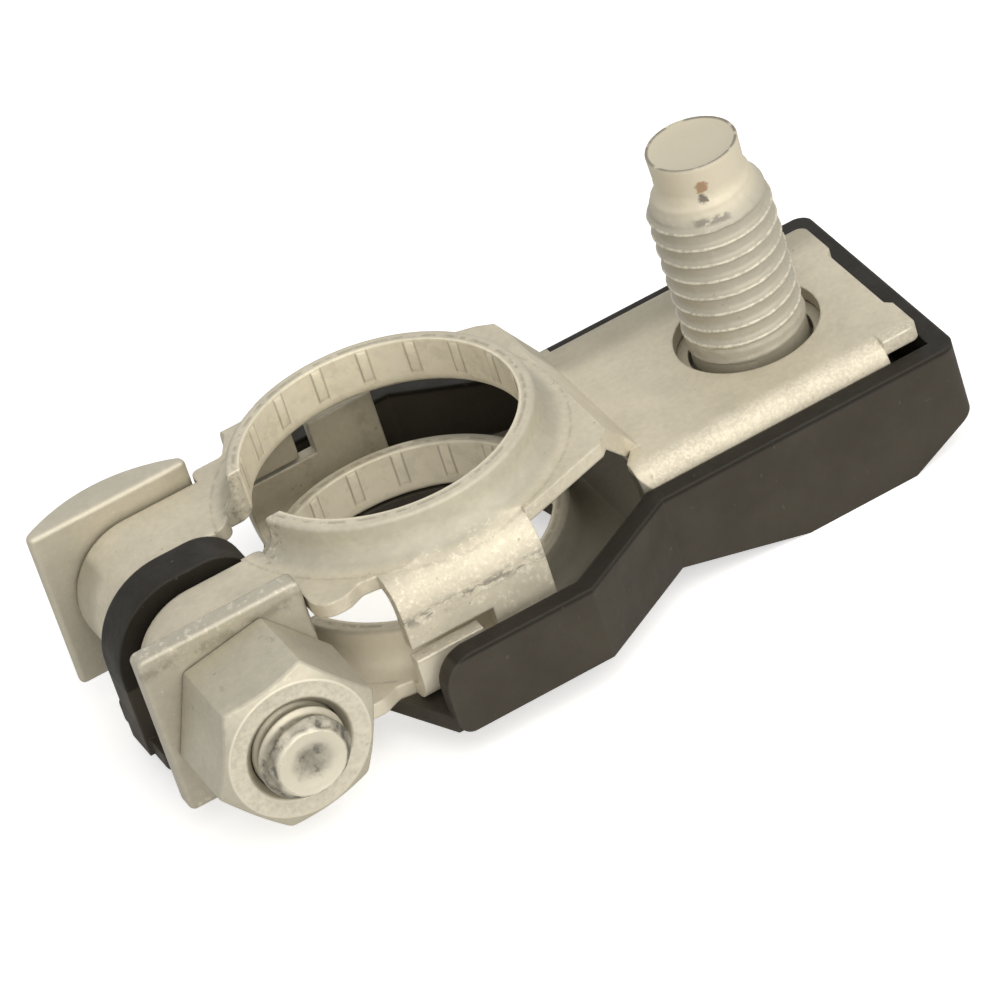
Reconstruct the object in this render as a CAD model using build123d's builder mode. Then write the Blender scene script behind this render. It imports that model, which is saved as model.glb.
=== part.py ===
"""Battery terminal clamp with an M8 take-off stud.

One folded and plated steel sheet makes the clamp body: an upper and a lower deck, each
with a collar drawn upward round the battery post, joined by two U-bent jaws. A square
headed M6 bolt, a square washer and a nut close the jaws. An M8 stud stands in the
sandwiched end of the sheet, and a black plastic tray insulates the underside.

Millimetres. Origin on the post axis, at the height of the stud deck's top face.
+X points to the stud, +Z is up, -Y is the nut side.
"""

import os
from math import atan2, degrees, radians, sqrt, tan

from build123d import *

os.makedirs("parts", exist_ok=True)

# ---------------------------------------------------------------- driving dimensions
# Sheet and the battery post
sheet_t = 1.0
post_r = 9.0
collar_root_r = 1.6
collar_lip_r = 1.0
rim_edge_r = 0.25

# Heights
upper_top = 3.6
upper_rim = 6.24
lower_top = -4.7
lower_rim = -2.0
layer_gap = 0.2

# Jaws
slot_w = 3.9
slot_mouth_w = 6.0
slot_mouth_len = 0.3
slot_corner_r = 1.0
jaw_half = 7.6
rear_jaw_half = 8.25
jaw_edge_r = 0.7
slot_edge_r = 0.3
jaw_len = 5.5

# Side webs, where the decks are folded towards each other
web_reach = 2.4
web_bend_r = 2.25
rear_web_bend_r = 1.3
front_web_left = -5.9
front_web_step = -0.2
front_web_right = 4.0
front_web_short = -1.0
front_web_long = -4.0
front_flange_right = -1.2
front_flange_top = -1.95
rear_web_left = -6.7
rear_web_right = -2.5
rear_web_low = -0.9
rear_flange_top = -1.2
rear_tab_left = -1.3
rear_tab_right = 3.3
rear_tab_top = 1.1
rear_edge_reach = 0.1

# Deck outlines beside the webs
ear_reach = 0.2
ear_side = 0.5
rear_ear_half = 9.0
ear_r = 1.3
rear_ear_r = 0.6
ear_gap = 2.3
relief = 0.2
relief_r = 0.6
corner_out = 1.1
ramp_len = 2.3
ramp_rear = 8.1
notch_reach = 0.6
notch_tip_back = 0.8
notch_tip_y = -5.9
notch_tip_r = 0.7
notch_clear = 0.1
deck_tip_back = 0.6
deck_left_back = 1.5
lower_ramp_len = 3.5

# Stud deck
deck_end = 33.0
deck_half = 8.7
deck_bend_r = 1.6
deck_flange_low = -3.2
tab_len = 2.6
tab_front_step = 0.35
tab_rear_step = 1.7
tab_r = 0.65
recess_depth = 0.4
recess_front = -4.6
recess_rear = 2.95
recess_slope = 0.5
layer_side_gap = 1.1
layer_end_gap = 1.5

# Terminal stud, M8
stud_to_end = 8.06
stud_r = 3.95
stud_neck_r = 3.45
stud_pass_clear = 0.15
stud_top = 14.36
stud_tip_r = 2.98
stud_tip_len = 1.9
stud_flare = 2.6
stud_hole_r = 4.82
stud_head_af = 12.0
stud_head_h = 4.3

# Clamping bolt, M6
bolt_shift = 0.15
bolt_z = -1.3
bolt_r = 3.0
bolt_past_nut = 0.8
bolt_cone = 1.05
bolt_end_r = 1.85
plate_w = 11.26
plate_h = 11.77
plate_shift_x = -0.6
plate_shift_z = 0.55
plate_corner_r = 0.5
head_edge_t = 0.8
head_mid_t = 2.6
washer_t = 1.3
washer_clear = 0.25
washer_edge_r = 0.25
nut_af = 10.0
nut_h = 6.6
nut_turn = 16.0
nut_face_r = 4.68
nut_mouth_r = 3.5
nut_chamfer = 30.0
thread_clear = 0.12

# Insulating tray
wall_t = 1.35
floor_t = 1.15
tray_rim = -1.4
web_clear = 1.11
rear_web_room = 0.5
deck_clear = 0.1
end_clear = 0.13
wide_left = -5.3
wide_right = 5.46
ramp_to_block = 1.01
block_depth = 2.3
slope_to_stud = 3.34
nose_len = 4.98
nose_rise = 2.57
wall_corner_r = 2.2
end_corner_r = 1.0
wall_foot_r = 1.0
floor_corner = 0.6
tongue_back = 5.5
tongue_half = 4.4
tongue_corner_r = 1.2
floor_diag_x = -9.55
post_hole_clear = 0.3
fin_t = 2.8
fin_back = 5.8
fin_ahead = 4.75
fin_top = 4.35
fin_left_r = 5.3
fin_right_r = 3.2
fin_bolt_clear = 0.3
rib_t = 1.2
rib_len = 8.4
rib_clear = 0.1
rib_top = -3.4

# ---------------------------------------------------------------- worked-out values
collar_r = post_r + sheet_t
root_r = collar_r + collar_root_r
web_outer = collar_r + web_reach
upper_low = upper_top - sheet_t
lower_low = lower_top - sheet_t
slot_half = slot_w / 2
mouth_half = slot_mouth_w / 2
slot_mouth_x = -collar_r - slot_mouth_len
ear_left = -collar_r - ear_reach
ear_half = collar_r + ear_side
rear_edge = root_r + rear_edge_reach
jaw_bend_x = -collar_r - jaw_len
jaw_bend_r = (upper_top - lower_low) / 2
jaw_mid_z = (upper_top + lower_low) / 2
bend_start = web_outer - web_bend_r
rear_bend_start = web_outer - rear_web_bend_r
tray_low = lower_low - floor_t
ramp_start = root_r
ramp_foot = ramp_start + ramp_len
lower_ramp_foot = ramp_start + lower_ramp_len
notch_x = collar_r + notch_reach
notch_tip_x = ramp_foot - notch_tip_back
deck_tip_x = ramp_foot - deck_tip_back
deck_left = ramp_foot - deck_left_back
notch_half = deck_half + notch_clear
deck_flat = deck_half - deck_bend_r
tab_front = -deck_half + tab_front_step
tab_rear = deck_half - tab_rear_step
tab_left = deck_end - tab_len
lower_deck_half = deck_half - sheet_t - layer_side_gap
lower_deck_end = deck_end - layer_end_gap
stud_x = deck_end - stud_to_end
stud_seat = -sheet_t - layer_gap - sheet_t
bolt_x = jaw_bend_x + bolt_shift
head_face = rear_jaw_half
washer_face = -jaw_half - washer_t
nut_face = washer_face - nut_h
tongue_left = bolt_x - tongue_back
fin_left = bolt_x - fin_back
fin_right = bolt_x + fin_ahead
wide_half = web_outer + web_clear + wall_t
rear_wide_half = wide_half + rear_web_room
narrow_half = deck_half + deck_clear + wall_t
narrow_left = ramp_foot - ramp_to_block
tray_end = deck_end + end_clear + wall_t
block_low = tray_low - block_depth
block_slope_end = stud_x - slope_to_stud
block_flat_end = tray_end - nose_len
block_nose_z = block_low + nose_rise
overlap = 0.5
past = 40.0


def collar(name, rim, top, low):
    """Revolve one drawn collar, with its root fillet and the rounded lip below."""
    with BuildPart() as ring:
        with BuildSketch(Plane.XZ):
            with BuildLine():
                Line((post_r, low + collar_lip_r), (post_r, rim))
                Line((post_r, rim), (collar_r - rim_edge_r, rim))
                RadiusArc((collar_r - rim_edge_r, rim), (collar_r, rim - rim_edge_r), rim_edge_r)
                Line((collar_r, rim - rim_edge_r), (collar_r, top + collar_root_r))
                RadiusArc((collar_r, top + collar_root_r), (root_r, top), -collar_root_r)
                Line((root_r, top), (root_r, low))
                Line((root_r, low), (post_r + collar_lip_r, low))
                RadiusArc((post_r + collar_lip_r, low), (post_r, low + collar_lip_r), collar_lip_r)
            make_face()
        revolve(axis=Axis.Z)
    ring.part.label = name
    return ring.part


def rounded_outline(*corners):
    """Draw a closed outline through corners given as (x, y, corner radius)."""
    FilletPolyline(*[(x, y) for x, y, r in corners], radius=[r for x, y, r in corners], close=True)


def web_profile(side, bend_r, top, low, end):
    """Face in YZ of a deck edge folded through a quarter turn and run on to height end."""
    inner_r = bend_r - sheet_t
    if end < top - bend_r:
        centre_z = top - bend_r
        turn = 1
    else:
        centre_z = low + bend_r
        turn = -1
    y0 = side * (web_outer - bend_r)
    y1 = side * web_outer
    y2 = side * (web_outer - sheet_t)
    flat_out = centre_z + turn * bend_r
    flat_in = centre_z + turn * inner_r
    bulge = -side * turn
    with BuildSketch(Plane.YZ) as section:
        with BuildLine():
            RadiusArc((y0, flat_out), (y1, centre_z), -bulge * bend_r)
            Line((y1, centre_z), (y1, end))
            Line((y1, end), (y2, end))
            Line((y2, end), (y2, centre_z))
            RadiusArc((y2, centre_z), (y0, flat_in), bulge * inner_r)
            Line((y0, flat_in), (y0, flat_out))
        make_face()
    return section.sketch


def root_trim(side, bend_r):
    """Face in YZ of all that lies above a web's bend and the collar root running into it."""
    centre_y = web_outer - bend_r
    centre_z = upper_top - bend_r
    both_r = collar_root_r + bend_r
    aside = root_r - centre_y
    rise = sqrt(both_r**2 - aside**2)
    meet = (side * (centre_y + aside * bend_r / both_r), centre_z + rise * bend_r / both_r)
    wall = (side * collar_r, centre_z + rise)
    with BuildSketch(Plane.YZ) as section:
        with BuildLine():
            RadiusArc(wall, meet, -side * collar_root_r)
            RadiusArc(meet, (side * web_outer, centre_z), side * bend_r)
            Polyline(
                (side * web_outer, centre_z),
                (side * past, centre_z),
                (side * past, past),
                (side * collar_r, past),
                wall,
            )
        make_face()
    return section.sketch


def ramp_points(start, foot, high, low_z, left, right):
    """Outline in XZ of a sheet that runs flat, slopes from start to foot and runs flat."""
    bend = atan2(low_z - high, foot - start)
    back = sheet_t * tan(bend / 2)
    return [
        (left, high),
        (start, high),
        (foot, low_z),
        (right, low_z),
        (right, low_z - sheet_t),
        (foot + back, low_z - sheet_t),
        (start + back, high - sheet_t),
        (left, high - sheet_t),
    ]


upper_collar = collar("upper_collar", upper_rim, upper_top, upper_low)
lower_collar = collar("lower_collar", lower_rim, lower_top, lower_low)

# ---------------------------------------------------------------- clamp body
# One blank: both decks, the jaws' U-bends, the side webs and the sandwiched stud deck.
with BuildPart() as clamp_body:
    # Upper deck between the jaws and the ramp
    with BuildSketch(Plane.XY.offset(upper_low)):
        with BuildLine():
            rounded_outline(
                (jaw_bend_x, -jaw_half, 0),
                (ear_left, -jaw_half, 0),
                (ear_left, -ear_half, ear_r),
                (front_web_left - ear_gap, -ear_half, ear_r),
                (front_web_left - ear_gap / 2, -bend_start + relief, relief_r),
                (front_web_left, -bend_start, 0),
                (front_web_right, -bend_start, 0),
                (front_web_right, -bend_start - corner_out, 0),
                (notch_x, -notch_half, 0),
                (ramp_start, -notch_half, 0),
                (ramp_start, ramp_rear, 0),
                (notch_x, notch_half, 0),
                (rear_tab_right, rear_edge, 0),
                (rear_web_right, rear_edge, 0),
                (rear_web_right, rear_bend_start, 0),
                (rear_web_left, rear_bend_start, 0),
                (rear_web_left - ear_gap / 2, rear_ear_half, relief_r),
                (ear_left, rear_ear_half, rear_ear_r),
                (ear_left, rear_jaw_half, 0),
                (jaw_bend_x, rear_jaw_half, 0),
            )
        make_face()
        Circle(root_r, mode=Mode.SUBTRACT)
    extrude(amount=sheet_t)
    # Lower deck
    with BuildSketch(Plane.XY.offset(lower_low)):
        with BuildLine():
            rounded_outline(
                (jaw_bend_x, -jaw_half, 0),
                (ear_left, -jaw_half, 0),
                (ear_left, -ear_half, ear_r),
                (front_web_left - ear_gap, -ear_half, ear_r),
                (front_web_left - ear_gap / 2, -bend_start + relief, relief_r),
                (front_web_left, -bend_start, 0),
                (wide_right, -bend_start, 0),
                (notch_x, -notch_half, 0),
                (ramp_start, -lower_deck_half, 0),
                (ramp_start, lower_deck_half, 0),
                (notch_x, notch_half, 0),
                (wide_right, bend_start, 0),
                (rear_web_left, bend_start, 0),
                (rear_web_left - ear_gap / 2, rear_ear_half, relief_r),
                (ear_left, rear_ear_half, rear_ear_r),
                (ear_left, rear_jaw_half, 0),
                (jaw_bend_x, rear_jaw_half, 0),
            )
        make_face()
        Circle(root_r, mode=Mode.SUBTRACT)
    extrude(amount=sheet_t)
    # U-bend that turns the upper deck into the lower one at the jaws
    with BuildSketch(Plane.XZ.offset(-rear_jaw_half)):
        with Locations((jaw_bend_x, jaw_mid_z)):
            Circle(jaw_bend_r)
            Circle(jaw_bend_r - sheet_t, mode=Mode.SUBTRACT)
            with Locations((jaw_bend_r, 0)):
                Rectangle(2 * jaw_bend_r, 3 * jaw_bend_r, mode=Mode.SUBTRACT)
    extrude(amount=rear_jaw_half + jaw_half)
    # Folded webs and flanges along both sides
    upper = (upper_top, upper_low)
    lower = (lower_top, lower_low)
    for side, bend_r, deck, left, right, end in (
        (-1, web_bend_r, upper, front_web_left, front_web_step, front_web_short),
        (-1, web_bend_r, upper, front_web_step, front_web_right, front_web_long),
        (1, rear_web_bend_r, upper, rear_web_left, rear_web_right, rear_web_low),
        (-1, web_bend_r, lower, front_web_left, front_flange_right, front_flange_top),
        (1, web_bend_r, lower, rear_web_left, rear_tab_left, rear_flange_top),
        (1, web_bend_r, lower, rear_tab_left, rear_tab_right, rear_tab_top),
    ):
        section = web_profile(side, bend_r, *deck, end)
        extrude(section.moved(Location((left, 0, 0))), amount=right - left)
    # Ramp down to the stud deck
    with BuildSketch(Plane.XZ.offset(-ramp_rear)):
        Polygon(
            *ramp_points(ramp_start, ramp_foot, upper_top, 0, ramp_start - overlap, ramp_foot + overlap),
            align=None,
        )
    extrude(amount=ramp_rear + notch_half)
    # Cut-out that runs on across the ramp to the stud deck
    with BuildSketch(Plane.XY.offset(stud_seat)):
        with BuildLine():
            rounded_outline(
                (notch_x, -notch_half, 0),
                (notch_tip_x, notch_tip_y, notch_tip_r),
                (ramp_foot + overlap, notch_tip_y, 0),
                (ramp_foot + overlap, -web_outer, 0),
                (notch_x, -web_outer, 0),
            )
        make_face()
    extrude(amount=past / 2, mode=Mode.SUBTRACT)
    # Stud deck with a shallow recess in its end
    with BuildSketch(Plane.XY.offset(-sheet_t)):
        with BuildLine():
            rounded_outline(
                (ramp_foot, notch_tip_y, 0),
                (deck_tip_x, notch_tip_y, 0),
                (deck_left, -deck_flat, 0),
                (tab_left, -deck_flat, 0),
                (tab_left, tab_front, 0),
                (deck_end, tab_front, tab_r),
                (deck_end, recess_front - recess_slope, 0),
                (deck_end - recess_depth, recess_front, 0),
                (deck_end - recess_depth, recess_rear, 0),
                (deck_end, recess_rear + recess_slope, 0),
                (deck_end, tab_rear, tab_r),
                (tab_left, tab_rear, 0),
                (tab_left, deck_flat, 0),
                (ramp_foot, deck_flat, 0),
            )
        make_face()
    extrude(amount=sheet_t)
    # Long edges of the stud deck, bent down
    for side in (-1, 1):
        with BuildSketch(Plane.YZ.offset(deck_left if side < 0 else ramp_foot)) as edge_section:
            with BuildLine():
                flat = side * deck_flat
                deck_out = side * deck_half
                deck_in = side * (deck_half - sheet_t)
                RadiusArc((flat, 0), (deck_out, -deck_bend_r), side * deck_bend_r)
                Line((deck_out, -deck_bend_r), (deck_out, deck_flange_low))
                Line((deck_out, deck_flange_low), (deck_in, deck_flange_low))
                Line((deck_in, deck_flange_low), (deck_in, -deck_bend_r))
                RadiusArc((deck_in, -deck_bend_r), (flat, -sheet_t), -side * (deck_bend_r - sheet_t))
                Line((flat, -sheet_t), (flat, 0))
            make_face()
        extrude(amount=tab_left - (deck_left if side < 0 else ramp_foot))
    # Lower ramp and the second layer under the stud deck
    with BuildSketch(Plane.XZ.offset(-lower_deck_half)):
        Polygon(
            *ramp_points(
                ramp_start,
                lower_ramp_foot,
                lower_top,
                -sheet_t - layer_gap,
                ramp_start - overlap,
                lower_deck_end,
            ),
            align=None,
        )
    extrude(amount=2 * lower_deck_half)
    # Collars, their roots trimmed where they run into the bends of the webs
    add(upper_collar)
    add(lower_collar)
    for side, bend_r, left, right in (
        (-1, web_bend_r, front_web_left, front_web_right),
        (1, rear_web_bend_r, rear_web_left, rear_web_right),
    ):
        section = root_trim(side, bend_r).moved(Location((left, 0, 0)))
        extrude(section, amount=right - left, mode=Mode.SUBTRACT)
    for side, right in ((-1, front_flange_right), (1, rear_tab_right)):
        left = front_web_left if side < 0 else rear_web_left
        with BuildSketch(Plane.YZ.offset(left)):
            with BuildLine():
                RadiusArc(
                    (side * bend_start, lower_low),
                    (side * web_outer, lower_low + web_bend_r),
                    -side * web_bend_r,
                )
                Polyline(
                    (side * web_outer, lower_low + web_bend_r),
                    (side * past, lower_low + web_bend_r),
                    (side * past, -past),
                    (side * bend_start, -past),
                    (side * bend_start, lower_low),
                )
            make_face()
        extrude(amount=right - left, mode=Mode.SUBTRACT)
    # Slot between the jaws, short of the collars, with its edges and the jaws' rolled
    with BuildSketch(Plane.XY.offset(lower_low - overlap)):
        with Locations((-root_r - past / 2, 0)):
            Rectangle(past, slot_w)
    extrude(amount=past, mode=Mode.SUBTRACT)
    bend_edges = clamp_body.edges().filter_by(GeomType.CIRCLE)
    bend_edges = bend_edges.filter_by(lambda e: abs(e.radius - jaw_bend_r) < 0.01)
    outer_edges = bend_edges.filter_by(lambda e: abs(e.center().Y) > jaw_half - 0.01)
    slot_edges = bend_edges.filter_by(lambda e: abs(e.center().Y) < slot_half + 0.01)
    fillet(slot_edges, slot_edge_r)
    fillet(outer_edges, jaw_edge_r)
    # The slot's wider mouth through the collars, and the lower layer's hole for the stud
    with BuildSketch(Plane.XY.offset(lower_low - overlap)):
        with BuildLine():
            rounded_outline(
                (-root_r - overlap, -slot_half, 0),
                (slot_mouth_x, -slot_half, slot_corner_r),
                (slot_mouth_x, -mouth_half, 0),
                (0, -mouth_half, 0),
                (0, mouth_half, 0),
                (slot_mouth_x, mouth_half, 0),
                (slot_mouth_x, slot_half, slot_corner_r),
                (-root_r - overlap, slot_half, 0),
            )
        make_face()
        with Locations((stud_x, 0)):
            Circle(stud_r + stud_pass_clear)
    extrude(amount=past, mode=Mode.SUBTRACT)
    # Larger hole for the stud in the deck itself
    with BuildSketch(Plane.XY.offset(-sheet_t)):
        with Locations((stud_x, 0)):
            Circle(stud_hole_r)
    extrude(amount=2 * sheet_t, mode=Mode.SUBTRACT)

clamp_body.part.label = "clamp_body"
export_step(clamp_body.part, "parts/clamp_body.step")

# ---------------------------------------------------------------- clamping bolt
# Square head with a domed back, plain shank at thread size, coned end past the nut.
with BuildPart() as clamp_bolt:
    with BuildSketch(Plane.XY.offset(bolt_z + plate_shift_z - plate_h / 2)):
        with BuildLine():
            left = bolt_x + plate_shift_x - plate_w / 2
            right = left + plate_w
            middle = (left + right) / 2
            Line((left, head_face), (right, head_face))
            Line((right, head_face), (right, head_face + head_edge_t))
            ThreePointArc(
                (right, head_face + head_edge_t),
                (middle, head_face + head_mid_t),
                (left, head_face + head_edge_t),
            )
            Line((left, head_face + head_edge_t), (left, head_face))
        make_face()
    extrude(amount=plate_h)
    corners = clamp_bolt.edges().filter_by(Axis.Y).filter_by(GeomType.LINE)
    fillet(corners, plate_corner_r)
    with BuildSketch(Plane.XZ.offset(-head_face)):
        with Locations((bolt_x, bolt_z)):
            Circle(bolt_r)
    extrude(amount=head_face - nut_face + bolt_past_nut)
    with BuildSketch(Plane.XZ.offset(-nut_face + bolt_past_nut)):
        with Locations((bolt_x, bolt_z)):
            Circle(bolt_r)
    cone_taper = degrees(atan2(bolt_r - bolt_end_r, bolt_cone))
    extrude(amount=bolt_cone, taper=cone_taper)
clamp_bolt.part.label = "clamp_bolt"
export_step(clamp_bolt.part, "parts/clamp_bolt.step")

# ---------------------------------------------------------------- square washer
with BuildPart() as square_washer:
    with BuildSketch(Plane.XZ.offset(jaw_half)):
        with Locations((bolt_x + plate_shift_x, bolt_z + plate_shift_z)):
            RectangleRounded(plate_w, plate_h, plate_corner_r)
        with Locations((bolt_x, bolt_z)):
            Circle(bolt_r + washer_clear, mode=Mode.SUBTRACT)
    extrude(amount=washer_t)
    outer_front = square_washer.faces().sort_by(Axis.Y)[0].outer_wire().edges()
    fillet(outer_front, washer_edge_r)
square_washer.part.label = "square_washer"
export_step(square_washer.part, "parts/square_washer.step")

# ---------------------------------------------------------------- nut
with BuildPart() as clamp_nut:
    with BuildSketch(Plane.XZ.offset(-washer_face)):
        with Locations((bolt_x, bolt_z)):
            RegularPolygon(nut_af / 2, 6, major_radius=False, rotation=nut_turn)
            Circle(bolt_r + thread_clear, mode=Mode.SUBTRACT)
    extrude(amount=nut_h)
    # Turned front: what lies outside the chamfer's cone goes, and the mouth is countersunk
    with BuildSketch(Plane.XY.offset(bolt_z)):
        reach = nut_af
        with BuildLine():
            Polyline(
                (bolt_x + nut_face_r, nut_face),
                (bolt_x + reach, nut_face + (reach - nut_face_r) * tan(radians(nut_chamfer))),
                (bolt_x + reach, nut_face),
                close=True,
            )
        make_face()
        with BuildLine():
            Polyline(
                (bolt_x, nut_face),
                (bolt_x + nut_mouth_r, nut_face),
                (bolt_x + bolt_r + thread_clear, nut_face + nut_mouth_r - bolt_r - thread_clear),
                (bolt_x, nut_face + nut_mouth_r - bolt_r - thread_clear),
                close=True,
            )
        make_face()
    revolve(axis=Axis((bolt_x, 0, bolt_z), (0, 1, 0)), mode=Mode.SUBTRACT)
clamp_nut.part.label = "clamp_nut"
export_step(clamp_nut.part, "parts/clamp_nut.step")

# ---------------------------------------------------------------- terminal stud
# M8 stud with a dog point, its hexagon head trapped under both layers of the deck.
with BuildPart() as terminal_stud:
    with BuildSketch(Plane.XZ):
        with BuildLine():
            Polyline(
                (stud_x, stud_seat),
                (stud_x + stud_neck_r, stud_seat),
                (stud_x + stud_neck_r, 0),
                (stud_x + stud_r, 0),
                (stud_x + stud_r, stud_top - stud_tip_len - stud_flare),
                (stud_x + stud_tip_r, stud_top - stud_tip_len),
                (stud_x + stud_tip_r, stud_top),
                (stud_x, stud_top),
                close=True,
            )
        make_face()
    revolve(axis=Axis((stud_x, 0, 0), (0, 0, 1)))
    with BuildSketch(Plane.XY.offset(stud_seat - stud_head_h)):
        with Locations((stud_x, 0)):
            RegularPolygon(stud_head_af / 2, 6, major_radius=False, rotation=0)
    extrude(amount=stud_head_h)
terminal_stud.part.label = "terminal_stud"
export_step(terminal_stud.part, "parts/terminal_stud.step")

# ---------------------------------------------------------------- insulating tray
def tray_plan(inset, left):
    """Plan of the tray walls, moved in by inset and starting at x = left."""
    narrow = narrow_half - inset
    jog_len = narrow_left - wide_right
    front_shift = inset * tan(atan2(wide_half - narrow_half, jog_len) / 2)
    rear_shift = inset * tan(atan2(rear_wide_half - narrow_half, jog_len) / 2)
    return [
        (left, inset - wide_half),
        (wide_right - front_shift, inset - wide_half),
        (narrow_left - front_shift, -narrow),
        (tray_end - inset, -narrow),
        (tray_end - inset, narrow),
        (narrow_left - rear_shift, narrow),
        (wide_right - rear_shift, rear_wide_half - inset),
        (left, rear_wide_half - inset),
    ]


def below_floor(lift):
    """Outline in XZ of everything below the tray's underside raised by lift."""
    return [
        (tongue_left - past, tray_low + lift),
        (narrow_left, tray_low + lift),
        (block_slope_end, block_low + lift),
        (block_flat_end, block_low + lift),
        (tray_end, block_nose_z + lift),
        (tray_end + past, block_nose_z + lift),
        (tray_end + past, block_low - past),
        (tongue_left - past, block_low - past),
    ]


# Space inside the tray, from its floor up
with BuildPart() as tray_space:
    with BuildSketch(Plane.XY.offset(block_low)):
        Polygon(*tray_plan(wall_t, tongue_left), align=None)
    extrude(amount=-block_low)
    with BuildSketch(Plane.XZ.offset(-past)):
        Polygon(*below_floor(floor_t), align=None)
    extrude(amount=2 * past, mode=Mode.SUBTRACT)

with BuildPart() as insulating_tray:
    with BuildSketch(Plane.XY.offset(block_low)):
        Polygon(*tray_plan(0, wide_left), align=None)
    extrude(amount=tray_rim - block_low)
    # Floor running out past the walls to the tongue under the jaws
    with BuildSketch(Plane.XY.offset(tray_low)):
        with BuildLine():
            Polyline(
                (wide_left + overlap, -wide_half),
                (wide_left, -wide_half + floor_corner),
                (floor_diag_x, -tongue_half),
                (tongue_left, -tongue_half),
                (tongue_left, tongue_half),
                (floor_diag_x, tongue_half),
                (wide_left, rear_wide_half - floor_corner),
                (wide_left + overlap, rear_wide_half),
                close=True,
            )
        make_face()
    extrude(amount=floor_t)
    tongue_ends = insulating_tray.edges().filter_by(Axis.Z).group_by(Axis.X)[0]
    fillet(tongue_ends, tongue_corner_r)
    add(tray_space.part, mode=Mode.SUBTRACT)
    with BuildSketch(Plane.XZ.offset(-past)):
        Polygon(*below_floor(0), align=None)
    extrude(amount=2 * past, mode=Mode.SUBTRACT)
    # Rounded top corners at the open ends of the side walls
    wall_corners = insulating_tray.edges().filter_by(Axis.Y)
    wall_corners = wall_corners.filter_by_position(Axis.X, wide_left - 0.01, wide_left + 0.01)
    fillet(wall_corners.group_by(Axis.Z)[-1], wall_corner_r)
    # Rounded lower corners of the same ends, outside the floor
    for side, half in ((-1, wide_half), (1, rear_wide_half)):
        with BuildSketch(Plane.XZ.offset(-side * half)):
            with Locations((wide_left + wall_foot_r / 2, tray_low + wall_foot_r / 2)):
                Rectangle(wall_foot_r, wall_foot_r)
            with Locations((wide_left + wall_foot_r, tray_low + wall_foot_r)):
                Circle(wall_foot_r, mode=Mode.SUBTRACT)
        extrude(amount=side * floor_corner, mode=Mode.SUBTRACT)
    # Rounded upright corners at the stud's end
    end_corners = insulating_tray.edges().filter_by(Axis.Z)
    fillet(end_corners.group_by(Axis.X)[-1], end_corner_r)
    # Hole for the post
    with BuildSketch(Plane.XY.offset(tray_low)):
        Circle(post_r + post_hole_clear)
    extrude(amount=floor_t, mode=Mode.SUBTRACT)
    # Fin that stands in the slot between the jaws, with the bolt through it
    with BuildSketch(Plane.XZ.offset(-fin_t / 2)):
        with BuildLine():
            rounded_outline(
                (fin_left, tray_low, 0),
                (fin_left, fin_top, fin_left_r),
                (fin_right, fin_top, fin_right_r),
                (fin_right, tray_low, 0),
            )
        make_face()
        with Locations((bolt_x, bolt_z)):
            Circle(bolt_r + fin_bolt_clear, mode=Mode.SUBTRACT)
    extrude(amount=fin_t)
    # Ribs either side of the stud's hexagon head
    with BuildSketch(Plane.XY.offset(block_low + floor_t)):
        for side in (-1, 1):
            with Locations((stud_x, side * (stud_head_af / 2 + rib_clear + rib_t / 2))):
                Rectangle(rib_len, rib_t)
    extrude(amount=rib_top - block_low - floor_t)
insulating_tray.part.label = "insulating_tray"
export_step(insulating_tray.part, "parts/insulating_tray.step")
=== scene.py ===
import math

import bmesh
import bpy
from mathutils import Matrix, Vector, noise


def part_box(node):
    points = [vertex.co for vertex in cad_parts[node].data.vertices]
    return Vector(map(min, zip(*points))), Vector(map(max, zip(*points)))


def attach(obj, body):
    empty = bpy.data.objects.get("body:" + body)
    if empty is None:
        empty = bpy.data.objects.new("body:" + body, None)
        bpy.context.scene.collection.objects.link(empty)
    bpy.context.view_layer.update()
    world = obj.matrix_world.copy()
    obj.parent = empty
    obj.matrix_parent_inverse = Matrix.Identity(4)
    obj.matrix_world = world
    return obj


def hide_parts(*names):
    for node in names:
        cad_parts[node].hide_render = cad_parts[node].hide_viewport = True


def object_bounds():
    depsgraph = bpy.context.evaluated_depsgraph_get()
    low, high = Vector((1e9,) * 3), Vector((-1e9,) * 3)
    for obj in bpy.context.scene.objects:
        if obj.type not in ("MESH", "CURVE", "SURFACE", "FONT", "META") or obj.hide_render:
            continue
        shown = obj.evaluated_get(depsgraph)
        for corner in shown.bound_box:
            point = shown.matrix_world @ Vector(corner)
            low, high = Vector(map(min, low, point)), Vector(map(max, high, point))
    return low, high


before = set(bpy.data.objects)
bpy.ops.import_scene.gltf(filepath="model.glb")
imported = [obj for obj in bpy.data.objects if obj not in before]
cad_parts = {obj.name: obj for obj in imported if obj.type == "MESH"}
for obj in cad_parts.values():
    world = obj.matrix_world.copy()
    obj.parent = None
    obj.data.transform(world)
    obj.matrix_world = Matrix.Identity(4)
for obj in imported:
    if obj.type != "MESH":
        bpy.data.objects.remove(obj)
cad_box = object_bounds()

# ------------------------------------------------------------------ camera
# A long lens on a stand, looking down at the clamp from the nut side and rolled so that
# the part runs up to the right across the frame.
cam_azimuth = math.radians(16.012)
cam_elevation = math.radians(34.676)
cam_roll = math.radians(-18.538)
cam_target = Vector((0.004752, -0.004148, 0.0))
cam_distance = 0.435412
cam_focal_px = 7002.1
image_px = 1000.0
sensor_mm = 36.0

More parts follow.
